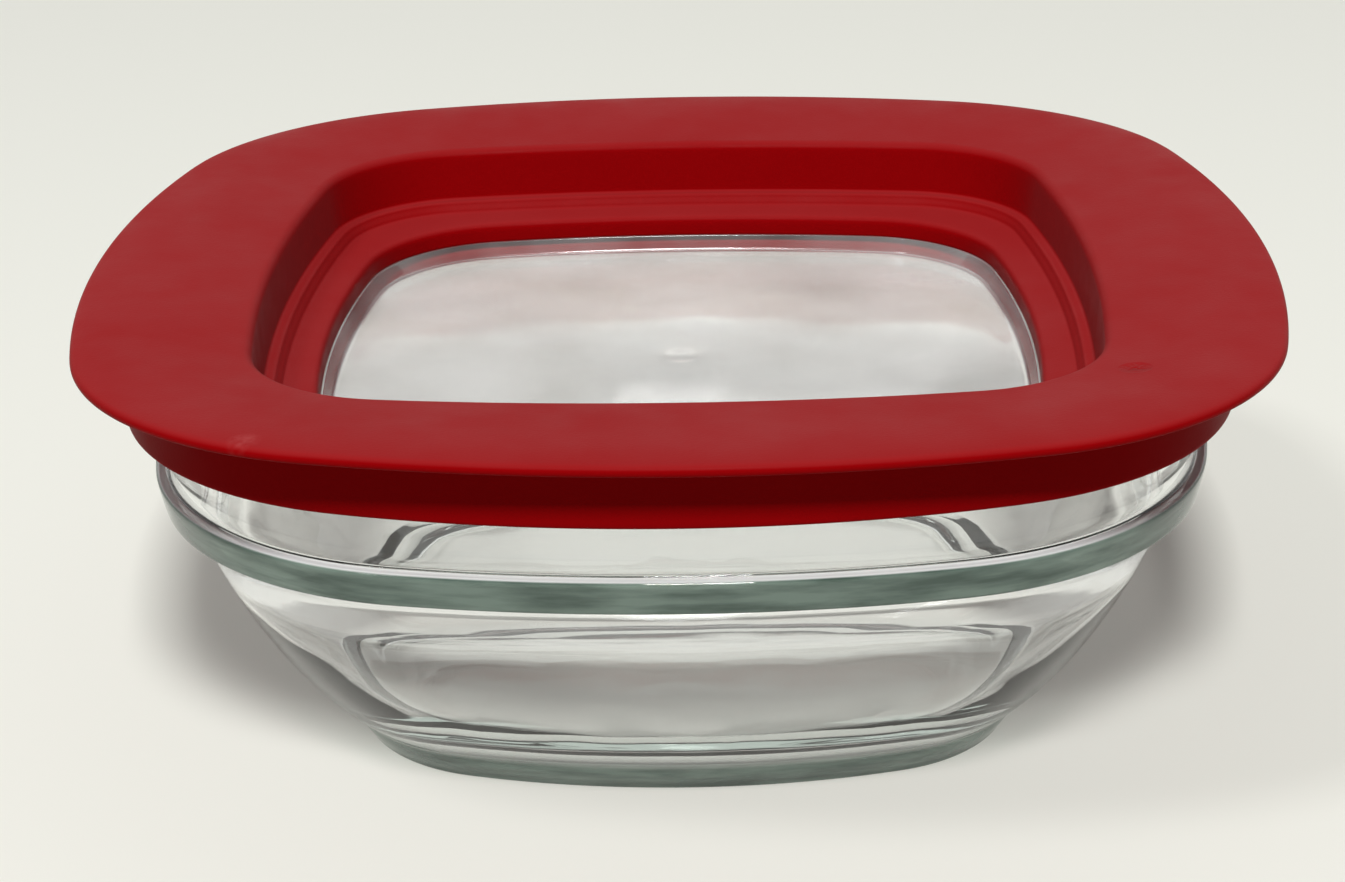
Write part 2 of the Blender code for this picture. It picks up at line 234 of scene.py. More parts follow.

# Finishes: gloss and grain of the soft rim, and how steeply a face looks up where its painted sheen begins
# and ends
RIM_SPECULAR = 0.012
RIM_SHEEN = 0.02
RIM_SHEEN_ROUGHNESS = 0.4
RIM_GRAIN_STRENGTH = 0.25
RIM_GRAIN_DEPTH = 0.05 * MM
UPWARD_START, UPWARD_FULL = 0.3, 0.95

# Stage: floor, backdrop and lamps; the room grows lighter from front to back along Y
FLOOR_SIZE = 8.0
FLOOR_GAP = 0.2 * MM
FLOOR_ROUGHNESS = 0.6
FLOOR_SPECULAR = 0.2
SURROUND_COLOUR = (1.0, 1.0, 1.0)
BACKDROP_COLOUR = (1.0, 1.0, 0.97)
ROOM_FRONT, ROOM_BACK = -0.7, 0.5
LIGHT_TARGET = (0.0, 0.0, 0.03)
FRONT_PLACE = (0.02, -2.24, 2.84)
FRONT_SIZE = (0.56, 0.56)
SIDE_PLACE = (-2.2, -1.72, 4.2)
SIDE_SIZE = (0.8, 0.8)

# Stage: camera, with its sensor in millimetres
CAMERA_AIM = (-1.716 * MM, 0.0, 34.177 * MM)
CAMERA_SENSOR = 36.0
CAMERA_NEAREST = 10.0 * MM


class Outline:
    """A square outline with bowed sides and round corners, all tangent circular arcs."""

    def __init__(self, half_width, side_radius, corner_radius):
        self.half_width = half_width
        self.side_radius = side_radius
        self.corner_radius = corner_radius

    def inset(self, distance):
        """The parallel outline that lies this far inside; a negative distance lies outside."""
        return Outline(
            self.half_width - distance,
            self.side_radius - distance,
            self.corner_radius - distance,
        )

    def blend(self, other, share):
        """An outline part of the way to another one."""
        return Outline(
            self.half_width + share * (other.half_width - self.half_width),
            self.side_radius + share * (other.side_radius - self.side_radius),
            self.corner_radius + share * (other.corner_radius - self.corner_radius),
        )

    def reach(self, turn):
        """The distance from the centre to the outline in this direction."""
        quarter = math.pi / 2.0
        lean = abs(turn - round(turn / quarter) * quarter)
        bow = self.side_radius - self.half_width
        span = self.side_radius - self.corner_radius
        corner = (-bow + math.sqrt(max(2.0 * span * span - bow * bow, 0.0))) / 2.0
        tangent = math.atan2(corner, corner + bow)
        side_ends = math.atan2(
            self.side_radius * math.sin(tangent),
            self.side_radius * math.cos(tangent) - bow,
        )
        if lean <= side_ends:
            return math.sqrt(self.side_radius**2 - (bow * math.sin(lean)) ** 2) - bow * math.cos(lean)
        across = corner * (math.cos(lean) - math.sin(lean))
        along = corner * (math.cos(lean) + math.sin(lean))
        return along + math.sqrt(self.corner_radius**2 - across**2)


def circle(radius):
    """A round outline."""
    return Outline(radius, radius, radius)


# Outlines that the pieces share
CENTRE = circle(CENTRE_RADIUS)
MIDDLE = circle(MIDDLE_RADIUS)
LIP = Outline(BOWL_HIGH.x, LIP_SIDE_RADIUS, LIP_CORNER_RADIUS)
BAND = Outline(BOWL_HIGH.x - BAND_BELOW_LIP, BAND_SIDE_RADIUS, BAND_CORNER_RADIUS)
FOOT = Outline(FOOT_HALF_WIDTH, FOOT_SIDE_RADIUS, FOOT_CORNER_RADIUS)
SKIRT = LIP.inset(-SKIRT_CLEARANCE - SKIRT_THICKNESS)
FLANGE = Outline(RIM_HIGH.x, FLANGE_SIDE_RADIUS, FLANGE_CORNER_RADIUS)
WELL = Outline(BOWL_HIGH.x - WELL_INSET, WELL_SIDE_RADIUS, WELL_CORNER_RADIUS)
PANE = Outline(PANE_HIGH.x - TONGUE_WIDTH - PANE_THICKNESS, PANE_SIDE_RADIUS, PANE_CORNER_RADIUS)
THROAT = PANE.inset(-PANE_REVEAL)
DISH = PANE.inset(PANE_DRAFT)
TRAY = PANE.inset(-PANE_THICKNESS)
TONGUE = TRAY.inset(-TONGUE_WIDTH)

# Heights above the surface that the bowl stands on
LID_SEAT = BOWL_HIGH.z + SEAT_GAP
FLANGE_LEVEL = LID_SEAT + FLANGE_THICKNESS
WELL_LEVEL = FLANGE_LEVEL - FLANGE_FALL
LEDGE_LEVEL = FLANGE_LEVEL - LEDGE_DEPTH
SHELF_LEVEL = LEDGE_LEVEL - STEP_HEIGHT
THROAT_LEVEL = SHELF_LEVEL - SHELF_FALL - THROAT_HEIGHT
PANE_TOP = PANE_HIGH.z
PANE_FLOOR = PANE_TOP - PANE_DEPTH
PANE_UNDERSIDE = PANE_FLOOR - PANE_THICKNESS


def wave(turn):
    """The slow rise and fall of a soft moulding round its edge, from -1 to 1."""
    return sum(share * math.sin(count * turn + start) for share, count, start in SWAY_WAVES)


def rounded(outline, depth, height, radius, start, end, steps=ROLL_STEPS):
    """Sections round a fillet, centred at a depth inside the outline; angles run from outwards to up."""
    sections = []
    for step in range(steps + 1):
        angle = math.radians(start + (end - start) * step / steps)
        distance = depth - radius * math.cos(angle)
        sections.append((outline.inset(distance), height + radius * math.sin(angle)))
    return sections


def bezier(start, start_handle, end_handle, end, steps):
    """Points (half width, height) along one Bezier curve."""
    points = []
    for step in range(steps + 1):
        share = step / steps
        rest = 1.0 - share
        weights = (rest**3, 3.0 * rest * rest * share, 3.0 * rest * share * share, share**3)
        knots = (start, start_handle, end_handle, end)
        width = sum(weight * knot[0] for weight, knot in zip(weights, knots))
        height = sum(weight * knot[1] for weight, knot in zip(weights, knots))
        points.append((width, height))
    return points


def start_ring(name, outline, height):
    """Begin a piece as an open ring of points on its first outline, left in edit mode."""
    bpy.ops.object.select_all(action="DESELECT")
    bpy.ops.mesh.primitive_circle_add(vertices=RING_POINTS, radius=outline.half_width, fill_type="NOTHING")
    piece = bpy.context.object
    piece.name = name
    piece.data.name = name
    bpy.ops.object.mode_set(mode="EDIT")
    bpy.ops.mesh.select_all(action="SELECT")
    shape = bmesh.from_edit_mesh(piece.data)
    for vert in shape.verts:
        turn = math.atan2(vert.co.y, vert.co.x)
        turn += CORNER_CROWDING * math.sin(4.0 * turn) / 4.0
        vert.co = (math.cos(turn), math.sin(turn), 0.0)
    lay_ring(outline, height)
    return piece


def lay_ring(outline, height, sway=0.0):
    """Place the selected ring of points on an outline, keeping each point's direction from the centre."""
    mesh = bpy.context.edit_object.data
    shape = bmesh.from_edit_mesh(mesh)
    for vert in shape.verts:
        if vert.select:
            turn = math.atan2(vert.co.y, vert.co.x)
            reach = outline.reach(turn)
            vert.co = (reach * math.cos(turn), reach * math.sin(turn), height + sway * wave(turn))
    bmesh.update_edit_mesh(mesh)


def draw_wall(sections):
    """Extrude the selected ring through the sections, each an outline, a height and perhaps a sway."""
    for section in sections:
        bpy.ops.mesh.extrude_edges_move()
        lay_ring(*section)


def finish_shape(piece, body, node, material):
    """Merge, smooth and finish a piece, and tie it to the body and node that it stands for."""
    bpy.ops.mesh.select_all(action="SELECT")
    bpy.ops.mesh.remove_doubles(threshold=MERGE_DISTANCE)
    bpy.ops.object.mode_set(mode="OBJECT")
    bpy.ops.object.modifier_add(type="SUBSURF")
    smoothing = piece.modifiers[-1]
    smoothing.levels = 1
    smoothing.render_levels = 1
    bpy.ops.object.modifier_apply(modifier=smoothing.name)
    bpy.ops.object.mode_set(mode="EDIT")
    bpy.ops.mesh.select_all(action="SELECT")
    bpy.ops.mesh.fill_holes(sides=0)
    bpy.ops.mesh.select_all(action="SELECT")
    bpy.ops.mesh.normals_make_consistent(inside=False)
    bpy.ops.object.mode_set(mode="OBJECT")
    bpy.ops.object.shade_smooth()
    piece.data.materials.clear()
    piece.data.materials.append(material)
    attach(piece, body)
    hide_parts(node)


def bowl_sections():
    """The bowl's wall, from its standing ring up the outside, over the lip and down to the floor's edge."""
    foot_top = FOOT.inset(-FOOT_DRAFT)
    wall_foot = foot_top.inset(-FOOT_SHOULDER)
    band_foot = BAND.inset(BAND_DRAFT)
    wall_head = BAND.inset(BAND_UNDERCUT)
    wall_head.corner_radius = SIDE_CORNER_RADIUS
    collar = BAND.inset(BAND_LEDGE)
    band_bottom = BAND_TOP - BAND_HEIGHT
    wall_low = FOOT_HEIGHT + FOOT_SHOULDER / 2.0
    wall_high = band_bottom - BAND_DRAFT / 2.0

    sections = [(FOOT.inset(FOOT_RING_WIDTH), 0.0)]
    sections += rounded(FOOT, FOOT_EDGE, FOOT_EDGE, FOOT_EDGE, -90.0, 0.0)
    sections += [(foot_top, FOOT_HEIGHT - FOOT_DRAFT), (foot_top.inset(-FOOT_DRAFT / 2.0), FOOT_HEIGHT)]

    # The swelling side, whose corners tighten from the band down to the foot
    wall = bezier(
        (wall_foot.half_width, wall_low),
        (wall_foot.half_width + SIDE_LOW_RUN, wall_low + SIDE_LOW_RISE),
        (wall_head.half_width - SIDE_HIGH_RUN, wall_high - SIDE_HIGH_FALL),
        (wall_head.half_width, wall_high),
        WALL_STEPS,
    )
    span = wall_head.half_width - wall_foot.half_width
    for width, height in wall:
        share = (width - wall_foot.half_width) / span
        sections.append((wall_foot.blend(wall_head, share), height))

    # The band, its ledge and the collar that flares out to the lip
    sections += rounded(band_foot, BAND_EDGE, band_bottom + BAND_EDGE, BAND_EDGE, -90.0, 0.0)
    sections += rounded(BAND, BAND_EDGE, BAND_TOP - BAND_EDGE, BAND_EDGE, 0.0, 90.0)
    sections += rounded(collar, -BAND_EDGE, BAND_TOP + BAND_EDGE, BAND_EDGE, 270.0, 180.0)
    flare_top = BOWL_HIGH.z - LIP_HEIGHT
    flare_low = flare_top - LIP_FLARE_HEIGHT
    flare_middle = flare_low + LIP_FLARE_RISE * LIP_FLARE_HEIGHT
    sections.append((collar.blend(LIP, LIP_FLARE_START), flare_low))
    sections.append((collar.blend(LIP, LIP_FLARE_MIDDLE), flare_middle))
    sections.append((LIP, flare_top))
    crest = LIP_WALL / 2.0
    sections += rounded(LIP, crest, BOWL_HIGH.z - crest, crest, 0.0, 180.0, 2 * ROLL_STEPS)

    # The inside steps in behind the band, then runs down to the rounded edge of the floor
    floor = FOOT_RECESS + FLOOR_THICKNESS
    inner_collar = collar.inset(COLLAR_WALL)
    inner_head = inner_collar.inset(INNER_STEP_RUN)
    inner_head.corner_radius = INNER_CORNER_RADIUS
    step_top = BAND_TOP - INNER_STEP_TOP
    step_end = step_top - INNER_STEP_FALL
    floor_edge = FOOT.inset(FLOOR_EDGE_INSET)
    sections += [(inner_collar, BAND_TOP + INNER_COLLAR_HEIGHT), (inner_collar, step_top + HOLDING_GAP)]
    sections.append((inner_collar, step_top))
    for share in (INNER_STEP_EASE, 1.0 - INNER_STEP_EASE):
        sections.append((inner_collar.blend(inner_head, share), step_top - share * INNER_STEP_FALL))
    sections += [(inner_head, step_end), (inner_head, step_end - INNER_STEP_EASE * INNER_WALL_FALL)]
    inner_head = inner_head.inset(INNER_WALL_DRAFT)
    step_end -= INNER_WALL_FALL
    inside = bezier(
        (inner_head.half_width, step_end),
        (inner_head.half_width - INNER_LOW_RUN, step_end - INNER_LOW_FALL),
        (floor_edge.half_width + FLOOR_ROUNDING, floor),
        (floor_edge.half_width, floor),
        WALL_STEPS,
    )
    span = inner_head.half_width - floor_edge.half_width
    for width, height in inside:
        share = (width - floor_edge.half_width) / span
        sections.append((floor_edge.blend(inner_head, share), height))
    sections += [(floor_edge.blend(CENTRE, HALFWAY), floor), (MIDDLE, floor)]
    return sections


def rim_sections():
    """Once round the rim's wall: over the flange, down the well, round the window and out underneath."""
    half_edge = FLANGE_EDGE / 2.0
    edge_middle = FLANGE_LEVEL - half_edge
    flange = rounded(FLANGE, half_edge, edge_middle, half_edge, FLANGE_ROLL_START, 90.0, 2 * ROLL_STEPS)
    for across, crown, fall in FLANGE_TOP:
        height = FLANGE_LEVEL + crown * FLANGE_CROWN - fall * FLANGE_FALL
        flange.append((FLANGE.blend(WELL, across), height))
    sections = [(outline, height, FLANGE_SWAY) for outline, height in flange]
    inner_level = FLANGE_LEVEL - FLANGE_INNER_FALL * FLANGE_FALL
    sections.append((FLANGE.blend(WELL, FLANGE_INNER_WIDTH), inner_level))
    roll_middle = WELL_LEVEL - WELL_ROLL
    sections += rounded(WELL, 0.0, roll_middle, WELL_ROLL, WELL_ROLL_START, 180.0, 2 * ROLL_STEPS)

    # The well: wall, ledge, step, shelf and the throat over the window
    wall = WELL.inset(WELL_ROLL)
    ledge = wall.inset(WELL_DRAFT)
    step = ledge.inset(LEDGE_WIDTH)
    shelf = step.inset(STEP_DRAFT)
    shelf_end = SHELF_LEVEL - SHELF_FALL
    sections += [(ledge, LEDGE_LEVEL + 2.0 * WELL_DRAFT)]
    sections += rounded(ledge, WELL_DRAFT, LEDGE_LEVEL + WELL_DRAFT, -WELL_DRAFT, 180.0, 90.0)
    sections += rounded(step, -STEP_DRAFT, LEDGE_LEVEL - STEP_DRAFT, STEP_DRAFT, 90.0, 180.0)
    sections += rounded(shelf, STEP_DRAFT, SHELF_LEVEL + STEP_DRAFT, -STEP_DRAFT, 180.0, 90.0)
    sections += rounded(THROAT, -SHELF_EDGE, shelf_end - SHELF_EDGE, SHELF_EDGE, 90.0, 180.0)
    sections += [(THROAT, THROAT_LEVEL + HOLDING_GAP), (THROAT, PANE_TOP)]

    # The rim is moulded onto the window, so its inner faces bite a little into the clear edge
    groove = TONGUE.inset(MOULD_BITE)
    collar = TRAY.inset(MOULD_BITE)
    outside = TONGUE.inset(-HOLDER_THICKNESS)
    groove_bottom = PANE_TOP - TONGUE_THICKNESS + MOULD_BITE
    sections += [(THROAT, PANE_TOP - MOULD_BITE), (groove, PANE_TOP - MOULD_BITE)]
    sections += [(groove, groove_bottom), (collar, groove_bottom), (collar, PANE_UNDERSIDE + MOULD_BITE)]
    sections += [(collar, PANE_UNDERSIDE), (outside.inset(HOLDER_THICKNESS / 2.0), PANE_UNDERSIDE)]
    sections.append((outside, PANE_UNDERSIDE + HOLDER_THICKNESS / 2.0))

    # The underside, at one wall's thickness below the well
    step_back = step.inset(-WELL_WALL)
    wall_back = wall.inset(-WELL_WALL)
    sections.append((outside, shelf_end - WELL_WALL))
    sections += [(step_back, SHELF_LEVEL - WELL_WALL), (step_back, LEDGE_LEVEL - WELL_WALL)]
    sections += [(wall_back.inset(WELL_DRAFT), LEDGE_LEVEL - WELL_WALL), (wall_back, LEDGE_LEVEL)]
    sections += [(wall_back, LID_SEAT - FLANGE_FALL - HOLDING_GAP), (wall_back, LID_SEAT - FLANGE_FALL)]

    # The sealing rib inside the lip, the channel over the lip, and the skirt outside it
    rib = LIP.inset(LIP_WALL + RIB_CLEARANCE)
    rib_back = rib.inset(RIB_THICKNESS)
    skirt_inside = LIP.inset(-SKIRT_CLEARANCE)
    rib_end = LID_SEAT - RIB_DEPTH
    skirt_end = LID_SEAT - SKIRT_DEPTH
    sections += [(rib_back, LID_SEAT), (rib_back, LID_SEAT - RIB_TAPER), (rib_back, rib_end + RIB_TAPER)]
    sections += [(rib.inset(RIB_THICKNESS / 2.0), rib_end), (rib.inset(RIB_TAPER), rib_end + RIB_TAPER)]
    sections += [(rib, LID_SEAT - RIB_TAPER), (rib, LID_SEAT), (skirt_inside, LID_SEAT)]
    sections += [(skirt_inside, LID_SEAT - SKIRT_EDGE), (skirt_inside, skirt_end + SKIRT_EDGE)]
    sections += [(skirt_inside.inset(-SKIRT_EDGE / 2.0), skirt_end)]
    sections += rounded(SKIRT, SKIRT_EDGE, skirt_end + SKIRT_EDGE, SKIRT_EDGE, -90.0, 0.0)
    sections += [(SKIRT, skirt_end + 2.0 * SKIRT_EDGE), (SKIRT, LID_SEAT - 2.0 * SKIRT_EDGE)]
    sections += rounded(SKIRT, -SKIRT_EDGE, LID_SEAT - SKIRT_EDGE, SKIRT_EDGE, 180.0, 90.0)
    return sections


def pane_sections():
    """The tray, from near the middle of its top, out and up its edge, and back underneath."""
    soft = PANE_ROUNDING
    bare = PANE_REVEAL / 2.0
    sections = [(DISH.blend(CENTRE, HALFWAY), PANE_FLOOR), (DISH.inset(PANE_FLAT_EDGE), PANE_FLOOR)]
    sections += rounded(DISH, soft, PANE_FLOOR + soft, -soft, 90.0, 180.0)
    sections += rounded(PANE, -bare, PANE_TOP - bare, bare, 180.0, 90.0)
    sections += [(TONGUE.inset(bare), PANE_TOP), (TONGUE, PANE_TOP - bare)]
    sections += [(TONGUE, PANE_TOP - TONGUE_THICKNESS), (TRAY, PANE_TOP - TONGUE_THICKNESS)]
    sections += rounded(TRAY, soft, PANE_UNDERSIDE + soft, soft, 0.0, -90.0)
    sections += [(TRAY.blend(CENTRE, HALFWAY), PANE_UNDERSIDE), (MIDDLE, PANE_UNDERSIDE)]
    return sections


def new_material(name):
    """An empty material with a Principled shader."""
    made = bpy.data.materials.new(name)
    made.use_nodes = True
    return made, made.node_tree, made.node_tree.nodes["Principled BSDF"]


def add_node(tree, kind, values=None, **settings):
    """A node with its settings, and with values for its sockets by name."""
    made = tree.nodes.new(kind)
    for name, value in settings.items():
        setattr(made, name, value)
    for name, value in (values or {}).items():
        made.inputs[name].default_value = value
    return made


def ranged(tree, value, low, high, first=0.0, last=1.0):
    """A value taken from between low and high to between first and last, and held at the ends."""
    limits = {"From Min": low, "From Max": high, "To Min": first, "To Max": last}
    made = add_node(tree, "ShaderNodeMapRange", limits)
    tree.links.new(value, made.inputs["Value"])
    return made.outputs["Result"]


def grain(tree, place, scale, detail, low, high):
    """Soft noise of a size on the piece's own coordinates, ranged between two values."""
    noise = add_node(tree, "ShaderNodeTexNoise", {"Scale": scale, "Detail": detail})
    tree.links.new(place.outputs["Object"], noise.inputs["Vector"])
    return ranged(tree, noise.outputs["Fac"], NOISE_LOW, NOISE_HIGH, low, high)


def relief(tree, height, depth, strength=1.0, **settings):
    """A node that bends the surface's normal as if a height from 0 to 1 were this deep."""
    made = add_node(tree, "ShaderNodeBump", {"Strength": strength, "Distance": depth}, **settings)
    tree.links.new(height, made.inputs["Height"])
    return made


def multiply(tree, first, second):
    """The product of two values."""
    made = add_node(tree, "ShaderNodeMath", operation="MULTIPLY")
    tree.links.new(first, made.inputs[0])
    tree.links.new(second, made.inputs[1])
    return made.outputs["Value"]


def what_is_left(tree, share):
    """1 less a share."""
    made = add_node(tree, "ShaderNodeMath", {0: 1.0}, operation="SUBTRACT")
    tree.links.new(share, made.inputs[1])
    return made.outputs["Value"]


def mix_colours(tree, share, first, second):
    """A node that goes from one colour to another by a share."""
    made = add_node(tree, "ShaderNodeMix", data_type="RGBA")
    made.inputs["A"].default_value = (*first, 1.0)
    made.inputs["B"].default_value = (*second, 1.0)
    tree.links.new(share, made.inputs["Factor"])
    return made


def faces_up(tree):
    """How far the surface faces upwards, where the rim is painted paler as sheen of the light from above."""
    surface = add_node(tree, "ShaderNodeNewGeometry")
    apart = add_node(tree, "ShaderNodeSeparateXYZ")
    tree.links.new(surface.outputs["Normal"], apart.inputs["Vector"])
    return ranged(tree, apart.outputs["Z"], UPWARD_START, UPWARD_FULL)


def spot(tree, place, centre, radius):
    """A round spot on the piece's own coordinates: 1 at its centre and 0 from its radius on."""
    away = add_node(tree, "ShaderNodeVectorMath", operation="DISTANCE")
    away.inputs[1].default_value = centre
    tree.links.new(place.outputs["Object"], away.inputs[0])
    return ranged(tree, away.outputs["Value"], 0.0, radius, 1.0, 0.0)


def any_ray(tree, *kinds):
    """1 for rays of any of these kinds, and 0 for all others."""
    path = add_node(tree, "ShaderNodeLightPath")
    share = path.outputs[kinds[0]]
    for kind in kinds[1:]:
        either = add_node(tree, "ShaderNodeMath", operation="MAXIMUM")
        tree.links.new(share, either.inputs[0])
        tree.links.new(path.outputs[kind], either.inputs[1])
        share = either.outputs["Value"]
    return share


def seen_directly(tree):
    """1 for rays by which the camera, gloss and glass see the stage, and 0 for those that carry its light."""
    return any_ray(tree, "Is Camera Ray", "Is Glossy Ray", "Is Transmission Ray")


def show_either(tree, share, first, second, output):
    """Show one shader for a share of 0 and another for a share of 1."""
    choice = add_node(tree, "ShaderNodeMixShader")
    tree.links.new(share, choice.inputs["Fac"])
    tree.links.new(first, choice.inputs[1])
    tree.links.new(second, choice.inputs[2])
    tree.links.new(choice.outputs["Shader"], tree.nodes[output].inputs["Surface"])


def let_light_through(tree, shader, share):
    """Let lamp light and bounced light pass straight through clear walls, so that what they hold is lit."""
    carries_light = any_ray(tree, "Is Shadow Ray", "Is Diffuse Ray")
    open_wall = add_node(tree, "ShaderNodeBsdfTransparent", {"Color": (share, share, share, 1.0)})
    show_either(tree, carries_light, shader.outputs["BSDF"], open_wall.outputs["BSDF"], "Material Output")


def share_between(value, low, high):
    """How far a value has come from low to high, from 0 to 1."""
    return min(max((value - low) / (high - low), 0.0), 1.0)


def mark_thick_glass(bowl):
    """Note on the bowl's points how far they lie on its thick band and foot, painted green with painted
    shade, and on its ledge, painted pale as a highlight.
    """
    inside_band = BAND.inset(BAND_LEDGE + BAND_EDGE)
    inside_foot = FOOT.inset(FOOT_RING_WIDTH + FOOT_EDGE)
    band_bottom = BAND_TOP - BAND_HEIGHT
    thick = []
    painted_light = []
    for vert in bowl.data.vertices:
        turn = math.atan2(vert.co.y, vert.co.x)
        reach = math.hypot(vert.co.x, vert.co.y)
        height = vert.co.z
        band = 0.0
        ledge = 0.0
        foot = 0.0
        if reach > inside_band.reach(turn):
            band = share_between(height, band_bottom - BAND_EDGE, band_bottom + BAND_EDGE / 2.0)
            band *= share_between(height, BAND_TOP, BAND_TOP - BAND_FADE)
            ledge = share_between(abs(height - BAND_TOP), LEDGE_FADE, LEDGE_FULL)
        if reach > inside_foot.reach(turn) and vert.normal.z < 0.0:
            foot = share_between(height, FOOT_HEIGHT + FOOT_FADE, FOOT_HEIGHT + FOOT_SHOULDER)
        thick.append(max(band, foot))
        painted_light.append(ledge)
    for name, values in (("thick_glass_tint_and_shade", thick), ("ledge_painted_highlight", painted_light)):
        noted = bowl.data.attributes.new(name, "FLOAT", "POINT")
        noted.data.foreach_set("value", values)


def seen_from_outside(tree, mark):
    """A mark on the glass as far as it is seen from outside; from within, the glass stays clear."""
    noted = add_node(tree, "ShaderNodeAttribute", attribute_name=mark)
    surface = add_node(tree, "ShaderNodeNewGeometry")
    outside = what_is_left(tree, surface.outputs["Backfacing"])
    return multiply(tree, noted.outputs["Fac"], outside)


def colour_glass(tree, shader, place, settings):
    """Paint the glass's thick parts a streaked green, partly its tint and partly painted shade, and its ledge
    pale as a painted highlight.
    """
    # The thick parts' green is partly the glass's tint and partly painted shade that stands in for the dark
    # view through them; the ledge's pale colour is a painted highlight
    thick = seen_from_outside(tree, "thick_glass_tint_and_shade")
    painted_light = seen_from_outside(tree, "ledge_painted_highlight")
    level = add_node(tree, "ShaderNodeMapping", {"Scale": (1.0, 1.0, STREAK_FLATNESS)})
    noise = add_node(tree, "ShaderNodeTexNoise", {"Scale": STREAK_SCALE, "Detail": STREAK_DETAIL})
    tree.links.new(place.outputs["Object"], level.inputs["Vector"])
    tree.links.new(level.outputs["Vector"], noise.inputs["Vector"])
    streak = ranged(tree, noise.outputs["Fac"], STREAK_LOW, STREAK_HIGH)
    streaked = mix_colours(tree, streak, settings.thick_tint_and_shade, settings.streak_tint_and_shade)
    green = mix_colours(tree, thick, CLEAR_COLOUR, settings.thick_tint_and_shade)
    pale = mix_colours(tree, painted_light, CLEAR_COLOUR, settings.ledge_highlight_colour)
    tree.links.new(streaked.outputs["Result"], green.inputs["B"])
    tree.links.new(green.outputs["Result"], pale.inputs["A"])
    tree.links.new(pale.outputs["Result"], shader.inputs["Base Color"])
    thick_clear = ranged(tree, thick, 0.0, 1.0, 1.0, 1.0 - settings.thick_paint_cover)
    ledge_clear = ranged(tree, painted_light, 0.0, 1.0, 1.0, 1.0 - settings.ledge_highlight_cover)
    tree.links.new(multiply(tree, thick_clear, ledge_clear), shader.inputs["Transmission Weight"])


def pressed_glass(settings):
    """Clear glass with slightly uneven faces, painted green and darker in its thick parts, partly as its tint
    and partly as painted shade.
    """
    made, tree, shader = new_material("pressed_glass_clear")
    place = add_node(tree, "ShaderNodeTexCoord")
    colour_glass(tree, shader, place, settings)
    shader.inputs["IOR"].default_value = GLASS_IOR
    tree.links.new(grain(tree, place, *GLASS_SMEAR), shader.inputs["Roughness"])
    waves = relief(tree, grain(tree, place, *GLASS_WAVES), settings.unevenness)
    tree.links.new(waves.outputs["Normal"], shader.inputs["Normal"])
    tint = add_node(tree, "ShaderNodeVolumeAbsorption", {"Density": settings.tint_depth})
    tint.inputs["Color"].default_value = (*settings.tint, 1.0)
    tree.links.new(tint.outputs["Volume"], tree.nodes["Material Output"].inputs["Volume"])
    let_light_through(tree, shader, GLASS_PASSES)
    return made


def soft_plastic(settings):
    """Satin moulded plastic: fine grain, slightly mottled colour, and upward faces painted paler in patches
    as sheen.
    """
    made, tree, shader = new_material("soft_plastic_red")
    place = add_node(tree, "ShaderNodeTexCoord")
    sink = spot(tree, place, SINK_PLACE, SINK_RADIUS)
    sink = multiply(tree, sink, grain(tree, place, *SINK_GRAIN))
    # Upward faces are painted paler as sheen of the light from above, in patches, and not in the sink mark
    painted_light = multiply(tree, faces_up(tree), grain(tree, place, *RIM_PAINTED_SHEEN))
    painted_light = multiply(tree, painted_light, what_is_left(tree, sink))
    sheened = mix_colours(tree, painted_light, settings.colour, settings.painted_sheen_colour)
    scuff = spot(tree, place, SCUFF_PLACE, SCUFF_RADIUS)
    scuff = multiply(tree, scuff, grain(tree, place, *SCUFF_GRAIN))
    scuffed = mix_colours(tree, scuff, settings.colour, settings.scuff_colour)
    tree.links.new(sheened.outputs["Result"], scuffed.inputs["A"])
    tree.links.new(scuffed.outputs["Result"], shader.inputs["Base Color"])
    tree.links.new(grain(tree, place, *RIM_DULLNESS), shader.inputs["Roughness"])
    dent = relief(tree, sink, SINK_DEPTH, invert=True)
    fine = relief(tree, grain(tree, place, *RIM_GRAIN), RIM_GRAIN_DEPTH, RIM_GRAIN_STRENGTH)
    tree.links.new(dent.outputs["Normal"], fine.inputs["Normal"])
    tree.links.new(fine.outputs["Normal"], shader.inputs["Normal"])
    shader.inputs["Specular IOR Level"].default_value = RIM_SPECULAR
    shader.inputs["Sheen Weight"].default_value = RIM_SHEEN
    shader.inputs["Sheen Roughness"].default_value = RIM_SHEEN_ROUGHNESS
    return made


def clear_plastic(settings):
    """Clear moulded plastic, a little hazy, in soft patches whose paler spots are painted highlights."""
    made, tree, shader = new_material("window_plastic_clear")
    place = add_node(tree, "ShaderNodeTexCoord")
    shader.inputs["Base Color"].default_value = (*WINDOW_COLOUR, 1.0)
    haziest = settings.clearness - settings.haze_and_highlights
    clearest = settings.clearness + settings.haze_and_highlights
    # Clearness varies in soft patches: partly hazy plastic, partly painted highlights
    patches = grain(tree, place, HAZE_AND_HIGHLIGHT_SCALE, HAZE_AND_HIGHLIGHT_DETAIL, haziest, clearest)
    tree.links.new(patches, shader.inputs["Transmission Weight"])
    shader.inputs["IOR"].default_value = WINDOW_IOR
    tree.links.new(grain(tree, place, *WINDOW_SMEAR), shader.inputs["Roughness"])
    waves = relief(tree, grain(tree, place, *WINDOW_WAVES), WINDOW_WAVE_DEPTH)
    tree.links.new(waves.outputs["Normal"], shader.inputs["Normal"])
    let_light_through(tree, shader, WINDOW_PASSES)
    return made


